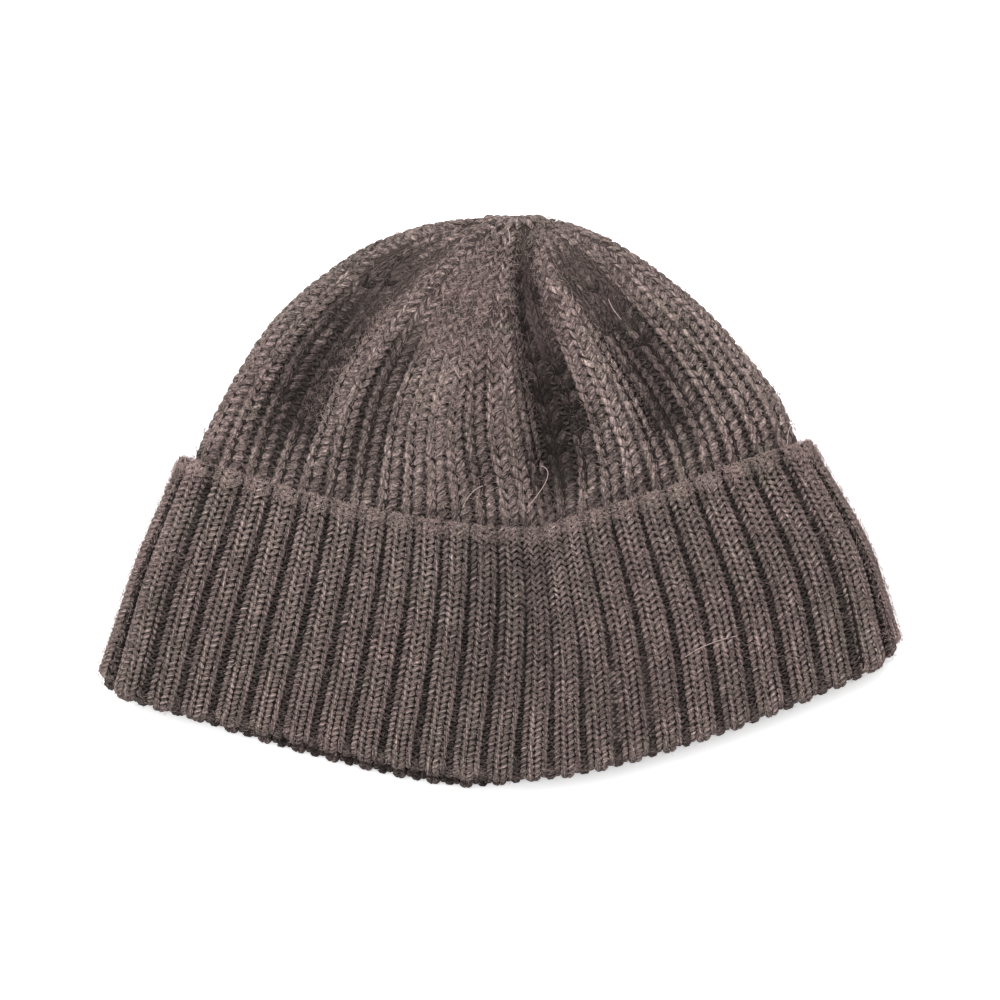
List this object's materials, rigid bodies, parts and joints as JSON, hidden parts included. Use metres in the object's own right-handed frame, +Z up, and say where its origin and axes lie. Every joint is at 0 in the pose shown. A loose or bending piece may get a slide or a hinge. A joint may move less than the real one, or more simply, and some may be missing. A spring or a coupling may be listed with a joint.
{
  "type": "knitted watch cap",
  "caption": "Taupe wool watch cap with a chunky ribbed crown and a deep turned-up ribbed cuff, lying flat.",
  "frame": {"origin": "middle of the footprint, on the surface that the cap lies on", "axes": "+X along the cap's width, to the right in the picture; +Y from the cuff's fold towards the tip; +Z up"},
  "size_m": [0.2488, 0.1796, 0.034],
  "materials": {
    "crown_wool": "matt, fuzzy chunky wool rib",
    "cuff_wool": "matt, fuzzy 2 by 2 wool rib"
  },
  "bodies": {
    "root": {"crown": "crown_wool", "cuff": "cuff_wool"}
  },
  "joints": []
}
